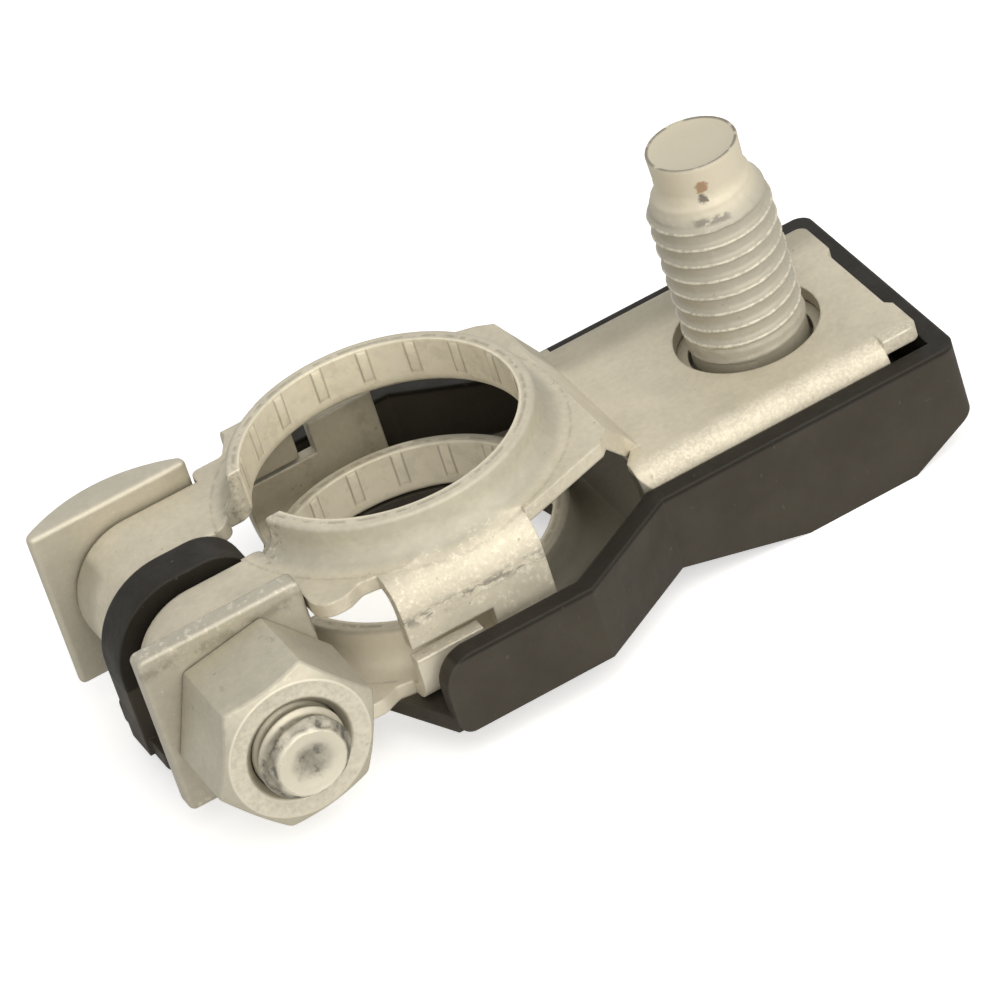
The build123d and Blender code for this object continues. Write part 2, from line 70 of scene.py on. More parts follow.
look = Vector((
    math.sin(cam_azimuth) * math.cos(cam_elevation),
    math.cos(cam_azimuth) * math.cos(cam_elevation),
    -math.sin(cam_elevation),
))
level_right = Vector((math.cos(cam_azimuth), -math.sin(cam_azimuth), 0.0))
level_up = level_right.cross(look)
cam_right = math.cos(cam_roll) * level_right + math.sin(cam_roll) * level_up
cam_up = -math.sin(cam_roll) * level_right + math.cos(cam_roll) * level_up
cam_data = bpy.data.cameras.new("camera")
cam_data.sensor_width = sensor_mm
cam_data.lens = sensor_mm * cam_focal_px / image_px
cam_data.clip_start = 0.01
cam_data.clip_end = 10.0
camera = bpy.data.objects.new("camera", cam_data)
bpy.context.collection.objects.link(camera)
cam_axes = Matrix((cam_right, cam_up, -look)).transposed()
camera.matrix_world = Matrix.Translation(cam_target - look * cam_distance) @ cam_axes.to_4x4()
bpy.context.scene.camera = camera
bpy.context.scene.view_settings.view_transform = "Standard"

# ------------------------------------------------------------------ studio light
# White paper all round gives an even light, and one wide warm soft box over the camera
# lights the front and the tops. Bare paper is white in view and in the metal.
paper_light = 0.44
paper_seen = 1.0
softbox_size = 0.85
softbox_power = 4.1
softbox_colour = (1.0, 0.965, 0.90)
softbox_from = Vector((0.08, -0.48, 0.39))


def place(tree, kind, sockets=(), **settings):
    """Add a node, set its properties, and feed its sockets with links or plain values."""
    node = tree.nodes.new(kind)
    for key, value in settings.items():
        setattr(node, key, value)
    for key, value in dict(sockets).items():
        if isinstance(value, bpy.types.NodeSocket):
            tree.links.new(value, node.inputs[key])
        else:
            node.inputs[key].default_value = value
    return node


def calc(tree, operation, *terms):
    """Output of a math node on sockets and plain numbers."""
    return place(tree, "ShaderNodeMath", enumerate(terms), operation=operation).outputs[0]


def seen_paper(tree):
    """One where the eye, or a mirror of it, looks straight at the paper."""
    path = place(tree, "ShaderNodeLightPath")
    mirrored = calc(tree, "MAXIMUM", path.outputs["Is Glossy Ray"], path.outputs["Is Transmission Ray"])
    return calc(tree, "MAXIMUM", path.outputs["Is Camera Ray"], mirrored)


world = bpy.data.worlds.new("paper_studio")
world.use_nodes = True
sky = world.node_tree
background = sky.nodes["Background"]
background.inputs["Color"].default_value = (1.0, 1.0, 1.0, 1.0)
paper_gain = calc(sky, "MULTIPLY_ADD", seen_paper(sky), paper_seen - paper_light, paper_light)
sky.links.new(paper_gain, background.inputs["Strength"])
bpy.context.scene.world = world

softbox_data = bpy.data.lights.new("softbox", "AREA")
softbox_data.size = softbox_size
softbox_data.energy = softbox_power
softbox_data.color = softbox_colour
softbox = bpy.data.objects.new("softbox", softbox_data)
softbox.location = softbox_from
softbox.rotation_euler = (-softbox_from).to_track_quat("-Z", "Y").to_euler()
bpy.context.collection.objects.link(softbox)

# ------------------------------------------------------------------ clamp body
# One steel sheet, pierced, drawn into two collars and folded, then zinc plated in a barrel: a matt warm grey
# with fine speckle, rubbed bright on sheared edges, with painted highlights on the bends.
sheet_colour = (0.64, 0.585, 0.46)
sheet_shade = (0.16, 0.145, 0.095)
sheet_bright = (0.86, 0.80, 0.66)
sheet_scuff = (0.09, 0.085, 0.075)
sheet_drawn = (0.34, 0.325, 0.265)
sheet_gap_shadow = (0.06, 0.056, 0.042)
sheet_burnish_and_light = (0.90, 0.82, 0.63)

# The plating's noise, in cells to the metre and in the levels where pits and painted glints begin
drift_cells = 260.0
speckle_cells = 2300.0
pit_cells = 1900.0
pit_level = (0.66, 0.74)
painted_glint_cells = 4200.0
painted_glint_level = (0.64, 0.74)
peel_cells = 900.0

# How much each effect of the plating shows
drift_share = 1.5
speckle_share = 0.9
peel_share = 0.6
peel_speckle = 0.5
pit_depth = 0.5
corner_shade_mix = 0.55
pit_mix = 0.45
painted_glint_glow = 0.2
pit_dulling = 0.2
rub_tone = (0.93, 1.06)
rub_mix = (0.25, 0.9)
rub_shine = 0.3
peel_strength = 0.35
peel_depth = 0.00012
surface_samples = 4
edge_turn = (0.99, 0.86)
corner_open = (0.62, 0.12)

bore_r = 0.009
collar_r = 0.0100
collar_foot_r = 0.0117
upper_rim_z = 0.00624
lower_rim_z = -0.0020
slot_wear_y = (0.0046, 0.0034)
rib_width_deg = 4.7
rib_pitch_deg = 20.0
rib_first_deg = 92.0
rib_line_deg = 0.75
rib_spans = ((0.00372, 0.00612), (-0.00458, -0.00214))

# Where the two decks shade each other, in front and behind, and the lower collar's lit side
ramp_start_x = 0.0106
ramp_slope = -1.57
deck_gap_top_z = 0.0025
deck_gap_floor_z = (-0.0062, -0.0056)
deck_gap_x = (0.0042, 0.0150)
rear_side_y = (0.004, 0.006)
low_side_y = (-0.004, -0.006)
low_side_x = (0.0040, 0.0034)

# Where the tool and handling marked the front web and the stud deck's front bend
web_mark_z = 0.0009
web_mark_reach = 0.0003
web_face_y = -0.0116
web_bend_y = (-0.0106, -0.0113)
web_bend_z = (0.0014, 0.0034)
web_glint_y = (-0.0102, -0.0110)
web_glint_z = (-0.0036, -0.0028)
deck_bend_y = -0.0074
deck_bend_z = (-0.0022, -0.0006)
deck_start_x = 0.0125


def new_group(name, values, results):
    """Start a shader group with number inputs and the named outputs."""
    tree = bpy.data.node_groups.new(name, "ShaderNodeTree")
    for label, default in values:
        socket = tree.interface.new_socket(label, in_out="INPUT", socket_type="NodeSocketFloat")
        socket.default_value = default
    for label, kind in results:
        tree.interface.new_socket(label, in_out="OUTPUT", socket_type=kind)
    return tree, tree.nodes.new("NodeGroupInput"), tree.nodes.new("NodeGroupOutput")


def use_group(tree, group, **values):
    """Place a group and set the inputs named in values."""
    node = place(tree, "ShaderNodeGroup", (), node_tree=group)
    for label, value in values.items():
        node.inputs[label].default_value = value
    return node


def fade(tree, value, low, high, to_low=0.0, to_high=1.0):
    """Smooth change from to_low to to_high while value goes from low to high."""
    node = place(
        tree,
        "ShaderNodeMapRange",
        {0: value, 1: low, 2: high, 3: to_low, 4: to_high},
        interpolation_type="SMOOTHSTEP",
    )
    return node.outputs[0]


def cloud(tree, where, scale, detail=2.0, rough=0.5):
    """Noise value about one half, scale being features to the metre."""
    sockets = {"Vector": where, "Scale": scale, "Detail": detail, "Roughness": rough}
    return place(tree, "ShaderNodeTexNoise", sockets).outputs[0]


def vector(tree, operation, *terms):
    """Vector math node on vectors and plain numbers."""
    return place(tree, "ShaderNodeVectorMath", enumerate(terms), operation=operation)


def times(tree, *factors):
    """Product of masks and plain numbers."""
    product = factors[0]
    for factor in factors[1:]:
        product = calc(tree, "MULTIPLY", product, factor)
    return product


def band(tree, value, low, high, soft):
    """One where value lies between low and high, with soft ends."""
    rise = fade(tree, value, low - soft, low + soft)
    fall = fade(tree, value, high + soft, high - soft)
    return times(tree, rise, fall)


def own_place(tree):
    """Place on the piece, as a vector and as its x, y and z."""
    at = place(tree, "ShaderNodeTexCoord").outputs["Object"]
    return at, *place(tree, "ShaderNodeSeparateXYZ", {0: at}).outputs


def opaque(colour):
    """Colour with full alpha, as a socket wants it."""
    return (*colour, 1.0)


def blend_colour(tree, factor, first, second):
    """Mix the second colour into the first by a mask; the first is a socket or has alpha."""
    sockets = {0: factor, 6: first, 7: opaque(second)}
    return place(tree, "ShaderNodeMix", sockets, data_type="RGBA").outputs[2]


def add_bump(tree, shader, height, normal, strength, depth):
    """Relief on top of a softened normal."""
    sockets = {"Height": height, "Normal": normal, "Strength": strength, "Distance": depth}
    bump = place(tree, "ShaderNodeBump", sockets)
    tree.links.new(bump.outputs["Normal"], shader.inputs["Normal"])


# Barrel plating: cloudy tone, small dark pits, painted glints as bright specks in the colour, and a fine
# orange peel
plating, plating_in, plating_out = new_group(
    "barrel_plating",
    (("Clouding", 0.07), ("Pits", 1.0), ("PaintedGlints", 1.0)),
    tuple((label, "NodeSocketFloat") for label in ("Tone", "Pits", "PaintedGlints", "Height")),
)
where = place(plating, "ShaderNodeTexCoord").outputs["Object"]
wide = calc(plating, "SUBTRACT", cloud(plating, where, drift_cells, 4.0, 0.6), 0.5)
close = calc(plating, "SUBTRACT", cloud(plating, where, speckle_cells, 3.0, 0.6), 0.5)
drift = calc(plating, "MULTIPLY_ADD", close, speckle_share, times(plating, wide, drift_share))
tone = calc(plating, "MULTIPLY_ADD", drift, times(plating, plating_in.outputs["Clouding"], 2.0), 1.0)
pit_field = cloud(plating, where, pit_cells, 5.0, 0.62)
pits = times(plating, fade(plating, pit_field, *pit_level), plating_in.outputs["Pits"])
painted_glint_field = cloud(plating, where, painted_glint_cells, 2.0, 0.6)
painted_glints = times(plating, fade(plating, painted_glint_field, *painted_glint_level), plating_in.outputs["PaintedGlints"])
peel_field = cloud(plating, where, peel_cells, 3.0)
peel = calc(plating, "MULTIPLY_ADD", peel_field, peel_share, times(plating, close, peel_speckle))
height = calc(plating, "MULTIPLY_ADD", pits, -pit_depth, peel)
for label, value in (("Tone", tone), ("Pits", pits), ("PaintedGlints", painted_glints), ("Height", height)):
    plating.links.new(value, plating_out.inputs[label])

# Softened edges: a rounded normal, and a mask of where the surface turns sharply
edges, edges_in, edges_out = new_group(
    "softened_edges",
    (("Radius", 0.0002),),
    (("Edge", "NodeSocketFloat"), ("Normal", "NodeSocketVector")),
)
bevel_sockets = {"Radius": edges_in.outputs["Radius"]}
rounded = place(edges, "ShaderNodeBevel", bevel_sockets, samples=surface_samples).outputs[0]
straight = place(edges, "ShaderNodeNewGeometry").outputs["Normal"]
agree = vector(edges, "DOT_PRODUCT", rounded, straight).outputs["Value"]
edges.links.new(fade(edges, agree, *edge_turn), edges_out.inputs["Edge"])
edges.links.new(rounded, edges_out.inputs["Normal"])

# Painted shade where two surfaces meet: ambient occlusion picks out corners, creases and recesses
corner_shade, corner_shade_in, corner_shade_out = new_group(
    "corner_painted_shade",
    (("Reach", 0.0012),),
    (("PaintedShade", "NodeSocketFloat"),),
)
reach_sockets = {"Distance": corner_shade_in.outputs["Reach"]}
openness = place(corner_shade, "ShaderNodeAmbientOcclusion", reach_sockets, samples=surface_samples)
corner_shade.links.new(fade(corner_shade, openness.outputs["AO"], *corner_open), corner_shade_out.inputs["PaintedShade"])


def plated_finish(name, colour, rough, metal, clouding, edge_r, marks):
    """Plated steel, with painted shade in its corners and painted glints in its speckle; marks gives (mask,
    strength, colour) layers of wear, marks, painted light and painted shade.
    """
    material = bpy.data.materials.new(name)
    material.use_nodes = True
    tree = material.node_tree
    shader = tree.nodes["Principled BSDF"]
    plate = use_group(tree, plating, Clouding=clouding).outputs
    edge = use_group(tree, edges, Radius=edge_r).outputs
    corner_shade_mask = use_group(tree, corner_shade).outputs["PaintedShade"]
    tint = place(tree, "ShaderNodeVectorMath", {0: colour, 3: plate["Tone"]}, operation="SCALE").outputs[0]
    # Painted shade: corners and creases are darkened towards sheet_shade
    tint = blend_colour(tree, times(tree, corner_shade_mask, corner_shade_mix), tint, sheet_shade)
    tint = blend_colour(tree, times(tree, plate["Pits"], pit_mix), tint, sheet_shade)
    open_edge = times(tree, edge["Edge"], calc(tree, "SUBTRACT", 1.0, corner_shade_mask))
    rub = times(tree, open_edge, fade(tree, plate["Tone"], *rub_tone, *rub_mix))
    # Rubbed edges are wear; the bright specks mixed in with them are painted glints
    wear_and_glints = calc(tree, "MAXIMUM", rub, times(tree, plate["PaintedGlints"], painted_glint_glow))
    tint = blend_colour(tree, wear_and_glints, tint, sheet_bright)
    for mask, strength, mark_colour in marks(tree):
        tint = blend_colour(tree, times(tree, mask, strength), tint, mark_colour)
    tree.links.new(tint, shader.inputs["Base Color"])
    dull = calc(tree, "MULTIPLY_ADD", plate["Pits"], pit_dulling, rough)
    tree.links.new(calc(tree, "MULTIPLY_ADD", wear_and_glints, -rub_shine, dull), shader.inputs["Roughness"])
    shader.inputs["Metallic"].default_value = metal
    add_bump(tree, shader, plate["Height"], edge["Normal"], peel_strength, peel_depth)
    return material


def collar_marks(tree, at, x, y, z):
    """Duller drawn sides with painted shade, burnished bores with painted light and a painted shade line
    beside each rib, and torn rims; also painted shade at the foot, behind the collars and between the decks,
    painted light on the lower bore and side, and wear at the slot.
    """
    level = vector(tree, "MULTIPLY", at, (1.0, 1.0, 0.0)).outputs[0]
    r = vector(tree, "LENGTH", level).outputs["Value"]
    uneven = cloud(tree, at, 1400.0, 4.0, 0.6)
    polish = fade(tree, uneven, 0.25, 0.6, 0.7, 1.0)
    # The bores are burnished by the post, and their colour is lightened further there as painted light
    bore = times(tree, fade(tree, r, bore_r + 0.0002, bore_r + 0.0001), polish)
    # Painted light: the lower bore is painted brighter
    lower_bore_light = times(tree, bore, fade(tree, z, lower_rim_z + 0.0004, lower_rim_z + 0.0002))
    smears = cloud(tree, at, 800.0, 4.0, 0.65)
    bright_smear = times(tree, bore, fade(tree, smears, 0.52, 0.60))
    dull_smear = times(tree, bore, fade(tree, smears, 0.48, 0.38))

    # Painted shade: a dark line along each side of each rib, as the shade of its edges
    turn = calc(tree, "DEGREES", calc(tree, "ARCTAN2", y, x))
    from_first = calc(tree, "SUBTRACT", turn, rib_first_deg - rib_pitch_deg / 2)
    in_pitch = calc(tree, "FLOORED_MODULO", from_first, rib_pitch_deg)
    off_rib = calc(tree, "ABSOLUTE", calc(tree, "SUBTRACT", in_pitch, rib_pitch_deg / 2))
    line = band(tree, off_rib, (rib_width_deg - rib_line_deg) / 2, (rib_width_deg + rib_line_deg) / 2, 0.25)
    ribbed = calc(tree, "MAXIMUM", *(band(tree, z, low, high, 0.0002) for low, high in rib_spans))
    line = times(tree, line, ribbed, bore)

    # The upper collar's outer side is darker: a duller drawn finish, and painted shade
    side = band(tree, r, collar_r - 0.0001, collar_foot_r - 0.0007, 0.0004)
    drawn_side_and_shade = times(tree, side, fade(tree, uneven, 0.3, 0.6, 0.8, 1.0), fade(tree, z, 0.0, 0.001))
    # Painted shade: a dark line in the crease at the collar's foot
    foot = band(tree, r, collar_foot_r - 0.00015, collar_foot_r, 0.00012)
    foot = times(tree, foot, fade(tree, uneven, 0.40, 0.56))
    upper_rim = fade(tree, z, upper_rim_z - 0.0002, upper_rim_z - 0.0001)
    lower_rim = band(tree, z, lower_rim_z - 0.00015, lower_rim_z + 0.0002, 0.00005)
    torn = times(tree, band(tree, r, bore_r + 0.0003, bore_r + 0.0005, 0.00012),
                 calc(tree, "MAXIMUM", upper_rim, lower_rim), fade(tree, uneven, 0.42, 0.55))

    off_middle = calc(tree, "ABSOLUTE", y)
    near_slot = times(tree, band(tree, x, -collar_r - 0.0006, -bore_r + 0.0004, 0.0003),
                      fade(tree, off_middle, *slot_wear_y))
    rough_cut = cloud(tree, at, 1700.0, 5.0, 0.7)
    chipped = times(tree, near_slot, fade(tree, rough_cut, 0.53, 0.62))
    shiny = times(tree, near_slot, fade(tree, rough_cut, 0.45, 0.38))

    # Painted shade on the sheet behind the collars, between the decks
    rear_painted_shade = times(tree, band(tree, z, lower_rim_z - 0.0024, upper_rim_z - 0.0038, 0.0002),
                      fade(tree, r, collar_r + 0.0002, collar_r + 0.0006), fade(tree, y, *rear_side_y))
    # Painted shadow: the sheet under the upper deck and down the ramp is painted nearly black
    past_ramp = calc(tree, "MAXIMUM", calc(tree, "SUBTRACT", x, ramp_start_x), 0.0)
    under_line = calc(tree, "MULTIPLY_ADD", past_ramp, ramp_slope, deck_gap_top_z)
    below = fade(tree, calc(tree, "SUBTRACT", under_line, z), 0.0, 0.0003)
    between = times(tree, below, fade(tree, z, *deck_gap_floor_z), band(tree, x, *deck_gap_x, 0.0002),
                    fade(tree, r, collar_r - 0.0012, collar_r + 0.0004))
    # Painted light on the lower collar's outer side
    lower_side_light = times(tree, fade(tree, z, lower_rim_z, lower_rim_z - 0.0003), fade(tree, y, *low_side_y),
                     fade(tree, x, *low_side_x), fade(tree, r, bore_r + 0.0004, bore_r + 0.0008))
    return (
        (drawn_side_and_shade, 0.6, sheet_drawn),
        (bore, 0.9, sheet_burnish_and_light),
        (lower_bore_light, 0.6, sheet_bright),
        (lower_side_light, 0.6, sheet_bright),
        (bright_smear, 0.5, sheet_bright),
        (dull_smear, 0.15, sheet_drawn),
        (line, 0.4, sheet_shade),
        (between, 0.78, sheet_gap_shadow),
        (torn, 0.45, sheet_shade),
        (foot, 0.28, sheet_shade),
        (rear_painted_shade, 0.4, sheet_shade),
        (chipped, 0.5, sheet_shade),
        (shiny, 0.5, sheet_bright),
    )


def body_marks(tree):
    """The collars' marks, then die scuffs on the front web, painted highlights along the bends and painted
    glints on the front web.
    """
    at, x, y, z = own_place(tree)
    drawn = vector(tree, "MULTIPLY", at, (0.4, 1.0, 1.0)).outputs[0]
    streak = fade(tree, cloud(tree, drawn, 3600.0, 4.0, 0.65), 0.48, 0.56)
    on_line = band(tree, z, web_mark_z - web_mark_reach, web_mark_z + web_mark_reach, 0.0004)
    scuff = times(tree, streak, on_line, fade(tree, y, web_face_y + 0.0003, web_face_y - 0.0003))
    flecks = fade(tree, cloud(tree, at, 4600.0, 4.0, 0.7), 0.44, 0.62)
    # Painted highlight: a flecked bright strip along the stud deck's front bend and the front web's bend
    deck_bend = times(tree, fade(tree, y, deck_bend_y + 0.0004, deck_bend_y - 0.0004),
                      fade(tree, x, deck_start_x, deck_start_x + 0.001), fade(tree, z, *deck_bend_z))
    web_bend = times(tree, fade(tree, y, *web_bend_y), band(tree, z, *web_bend_z, 0.0005), 0.35)
    painted_bend_highlight = times(tree, calc(tree, "MAXIMUM", deck_bend, web_bend), flecks)
    # Painted glints: bright flecks on the front web below its bend
    on_face = times(tree, fade(tree, y, *web_glint_y), fade(tree, z, *web_glint_z))
    glints = times(tree, on_face, fade(tree, cloud(tree, at, 2300.0, 4.0, 0.7), 0.56, 0.64))
    return collar_marks(tree, at, x, y, z) + (
        (glints, 0.55, sheet_bright),
        (painted_bend_highlight, 0.45, sheet_bright),
        (scuff, 0.65, sheet_scuff),
    )


def dress(node, material):
    """Give a CAD piece its material."""
    for slot in bpy.data.objects[node].material_slots:
        slot.material = material


plated_sheet = plated_finish(
    "plated_sheet", sheet_colour,
    rough=0.60, metal=0.35, clouding=0.15, edge_r=0.00022, marks=body_marks,
)
dress("clamp_body", plated_sheet)

# ------------------------------------------------------------------ coined ribs
# Narrow upright ribs inside both collars, coined when the collars are sized, that bite
# into the soft post. They are part of the sheet and carry its plating.
rib_proud = 0.00007
rib_root = 0.00006
rib_skin = 0.00001
slot_half_deg = 22.0
rib_columns = (-1.0, -0.86, -0.4, 0.0, 0.4, 0.86, 1.0)
rib_column_rises = (0.0, 1.0, 1.0, 1.0, 1.0, 1.0, 0.0)
rib_rows = ((0.0, 0.0), (0.14, 1.0), (0.5, 1.0), (0.86, 1.0), (1.0, 0.0))


def skin_rows(shape, rows, closed=False):
    """Join rows of equally many vertices with four-sided faces."""
    following = rows[1:] + rows[:1] if closed else rows[1:]
    for low, high in zip(rows, following):
        for i in range(len(low)):
            j = (i + 1) % len(low)
            shape.faces.new((low[i], low[j], high[j], high[i]))


def loft(shape, rows):
    """Skin the rows and close both ends."""
    skin_rows(shape, rows)
    shape.faces.new(rows[0])
    shape.faces.new(list(reversed(rows[-1])))


def new_piece(name, shape, material, sharp_deg=32.0):
    """Make an object from a bmesh with smooth faces and crisp corners."""
    bmesh.ops.recalc_face_normals(shape, faces=shape.faces)
    mesh = bpy.data.meshes.new(name)
    shape.to_mesh(mesh)
    shape.free()
    mesh.shade_smooth()
    mesh.set_sharp_from_angle(angle=math.radians(sharp_deg))
    mesh.materials.append(material)
    piece = bpy.data.objects.new(name, mesh)
    bpy.context.collection.objects.link(piece)
    return piece


def rib_row(middle_deg, z, rise):
    """One outline of a rib: its raised face, then back along its root in the wall."""
    face = [(column, bore_r - rib_proud * rise * column_rise + rib_skin)
            for column, column_rise in zip(rib_columns, rib_column_rises)]
    root = [(column, bore_r + rib_root) for column in reversed(rib_columns)]
    row = []
    for column, r in face + root:
        turn = math.radians(middle_deg + column * rib_width_deg / 2)
        row.append(ribs.verts.new((r * math.cos(turn), r * math.sin(turn), z)))
    return row


ribs = bmesh.new()
for low_z, high_z in rib_spans:
    for k in range(int(360 / rib_pitch_deg)):
        middle_deg = (rib_first_deg + k * rib_pitch_deg) % 360
        if abs(middle_deg - 180) < slot_half_deg:
            continue
        loft(ribs, [rib_row(middle_deg, low_z + share * (high_z - low_z), rise) for share, rise in rib_rows])
coined_ribs = new_piece("coined_ribs", ribs, plated_sheet)
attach(coined_ribs, "clamp")

# ------------------------------------------------------------------ clamping bolt
# Cold headed M6 bolt: a square head, flat against the jaw and domed behind, a rolled
# thread, and a coned point with a dished end that carries the marks of cropping.
bolt_colour = (0.53, 0.49, 0.39)
point_shade_grey = (0.22, 0.205, 0.165)
stain_grey = (0.27, 0.265, 0.225)
dent_dark = (0.10, 0.095, 0.075)
bolt_x = -0.01535
bolt_z = -0.0013
head_low = Vector(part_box("clamp_bolt")[0])
head_high = Vector(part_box("clamp_bolt")[1])
head_face_y = 0.00825
head_edge_y = head_face_y + 0.0008
head_corner_r = 0.00038
dome_steps = 16
bolt_r = 0.0030
bolt_root_r = 0.00268
bolt_pitch = 0.0010
bolt_ridge_width = 0.45
bolt_thread_top_y = -0.0146
bolt_cone_y = -0.0163
bolt_tip_y = head_low.y
bolt_tip_r = 0.0022
bolt_columns = 96
thread_rows = 46
cone_rows = 12
cone_curve = 1.3
dish_depth = 0.00042
# Rings of the dished end: share of the tip's radius, and depth below the tip
dish_rows = (
    (0.94, 0.00002), (0.86, 0.00006), (0.72, 0.15 * dish_depth),
    (0.5, 0.5 * dish_depth), (0.28, 0.85 * dish_depth), (0.08, dish_depth),
)
# Lumps and dents round the cone, in noise cells round it and along it
dent_cells_round = 3.2
dent_cells_along = 2.5
dent_size = 0.00013
dent_gain = 2.4
lump_limit = 0.15
dent_fade = 0.85
stain_off_x = 0.0004
stain_off_z = 0.0002
stain_r = (0.0017, 0.0004)


def screw_crest(turn, along, pitch, width):
    """Height, from 0 to 1, of a rolled thread's ridge."""
    phase = (along / pitch - turn / math.tau) % 1.0
    return math.exp(-(((phase - 0.5) * 2.0 / width) ** 2))


def thread_r(turn, y):
    """Radius of the bolt's thread."""
    return bolt_root_r + (bolt_r - bolt_root_r) * screw_crest(turn, -y, bolt_pitch, bolt_ridge_width)


def cone_r(turn, y, share):
    """Radius of the coned point, with the thread running out over it and dents in it."""
    start = thread_r(turn, y)
    r = start + (bolt_tip_r - start) * share**cone_curve
    where_round = (dent_cells_round * math.cos(turn), dent_cells_round * math.sin(turn))
    lump = noise.noise(Vector((*where_round, dent_cells_along * share)))
    swell = math.sin(math.pi * min(share, dent_fade))
    return r + dent_size * min(lump, lump_limit) * swell * dent_gain


def bolt_ring(shape, columns, reach_y):
    """One ring round the bolt's axis; reach_y gives (distance from it, y) at a turn."""
    row = []
    for i in range(columns):
        turn = math.tau * i / columns
        r, y = reach_y(turn)
        row.append(shape.verts.new((bolt_x + r * math.cos(turn), y, bolt_z + r * math.sin(turn))))
    return row


bolt = bmesh.new()
dome = []
for i in range(dome_steps + 1):
    share = -1 + 2 * i / dome_steps
    x = (head_low.x + head_high.x) / 2 - share * (head_high.x - head_low.x) / 2
    dome.append((x, head_edge_y + (head_high.y - head_edge_y) * (1 - share**2)))
outline = [(head_low.x, head_face_y), (head_high.x, head_face_y)] + dome
loft(bolt, [[bolt.verts.new((x, y, z)) for x, y in outline] for z in (head_low.z, head_high.z)])
bmesh.ops.recalc_face_normals(bolt, faces=bolt.faces)
crisp = [edge for edge in bolt.edges if edge.calc_face_angle() > math.radians(30)]
bmesh.ops.bevel(bolt, geom=crisp, offset=head_corner_r, segments=4, profile=0.5, affect="EDGES")

rows = [bolt_ring(bolt, bolt_columns, lambda turn, y=y: (bolt_r, y)) for y in (head_face_y, 0.0)]
for i in range(thread_rows + 1):
    y = bolt_thread_top_y + (bolt_cone_y - bolt_thread_top_y) * i / thread_rows
    rows.append(bolt_ring(bolt, bolt_columns, lambda turn, y=y: (thread_r(turn, y), y)))
for k in range(1, cone_rows + 1):
    share = k / cone_rows
    y = bolt_cone_y + (bolt_tip_y - bolt_cone_y) * share
    rows.append(bolt_ring(bolt, bolt_columns, lambda turn, y=y, share=share: (cone_r(turn, y, share), y)))
for share, depth in dish_rows:
    end = (bolt_tip_r * share, bolt_tip_y + depth)
    rows.append(bolt_ring(bolt, bolt_columns, lambda turn, end=end: end))
loft(bolt, rows)


def bolt_marks(tree):
    """Grey cropping marks in the dish, painted light on the end, painted shade over the coned point, and
    dark dents round it.
    """
    at, _, y, _ = own_place(tree)
    stain_centre = (bolt_x + stain_off_x, bolt_tip_y, bolt_z + stain_off_z)
    off = vector(tree, "DISTANCE", at, stain_centre).outputs["Value"]
    wash = fade(tree, cloud(tree, at, 900.0, 4.0, 0.6), 0.2, 0.5)
    stain = times(tree, fade(tree, off, *stain_r), wash)
    on_point = band(tree, y, bolt_tip_y + 0.0002, bolt_cone_y + 0.0002, 0.00015)
    # Painted light on the bolt's end, and painted shade over its coned point
    painted_end_light = fade(tree, y, bolt_tip_y + 0.0006, bolt_tip_y + 0.0002)
    point = times(tree, on_point, fade(tree, cloud(tree, at, 1500.0, 4.0, 0.6), 0.3, 0.6, 0.4, 0.85))
    dents = times(tree, fade(tree, cloud(tree, at, 1100.0, 3.0, 0.6), 0.53, 0.62), on_point)
    return (
        (painted_end_light, 0.5, sheet_bright),
        (point, 1.0, point_shade_grey),
        (stain, 0.4, stain_grey),
        (dents, 0.7, dent_dark),
    )


plated_bolt = plated_finish(
    "plated_bolt", bolt_colour,
    rough=0.46, metal=0.5, clouding=0.10, edge_r=0.00015, marks=bolt_marks,
)
clamp_bolt = new_piece("pinch_bolt", bolt, plated_bolt)
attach(clamp_bolt, "clamp")
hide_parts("clamp_bolt")

# ------------------------------------------------------------------ square washer
# Stamped from the same plated steel as the head and of its outline, so that either side
# of the jaws is pressed alike. Its stamping leaves a rubbed edge.
washer_colour = (0.47, 0.435, 0.35)
washer_top_wear_z = (0.0042, 0.0051)
washer_low_wear_z = (-0.0050, -0.0064)
washer_smudge_z = (0.0037, 0.0044)


def washer_marks(tree):
    """Speckled wear along the washer's upper edge and lower corner."""
    at, _, _, z = own_place(tree)
    specks = fade(tree, cloud(tree, at, 2000.0, 4.0, 0.65), 0.54, 0.64)
    worn = calc(tree, "MAXIMUM", fade(tree, z, *washer_top_wear_z), fade(tree, z, *washer_low_wear_z))
    smudge = times(tree, band(tree, z, *washer_smudge_z, 0.0003),
                   fade(tree, cloud(tree, at, 900.0, 4.0, 0.65), 0.42, 0.58))
    return (
        (times(tree, worn, specks), 0.4, sheet_bright),
        (smudge, 0.45, sheet_shade),
    )


plated_washer = plated_finish(
    "plated_washer", washer_colour,
    rough=0.48, metal=0.45, clouding=0.13, edge_r=0.00025, marks=washer_marks,
)
dress("square_washer", plated_washer)

# ------------------------------------------------------------------ nut
# Tall M6 hexagon nut of plated steel, cold formed and screwed up to the washer: six flats
# with softened corners, a face turned to a cone at its rim, and a countersunk mouth.
nut_colour = (0.49, 0.455, 0.36)
graze_grey = (0.16, 0.15, 0.13)
nut_half_af = 0.0050
nut_corner_r = 0.00572
nut_turned = math.radians(10.0)
nut_back_y = -0.0089
nut_front_y = -0.0155
nut_face_r = 0.00468
nut_slope = math.tan(math.radians(30.0))
nut_mouth_r = 0.0035
nut_bore_r = 0.00305
nut_edge = 0.00012
nut_face_dip = 0.00004
nut_columns = 180
# Rings of the turned face and the mouth: distance from the axis, and depth below the face
nut_face_rings = (
    (nut_face_r - 0.00005, 0.0),
    (nut_face_r - 0.00030, nut_face_dip),
    (nut_mouth_r + 0.00030, nut_face_dip),
    (nut_mouth_r + 0.00008, 0.0),
    (nut_mouth_r - 0.00006, 0.00008),
    (nut_bore_r, 0.00055),
)


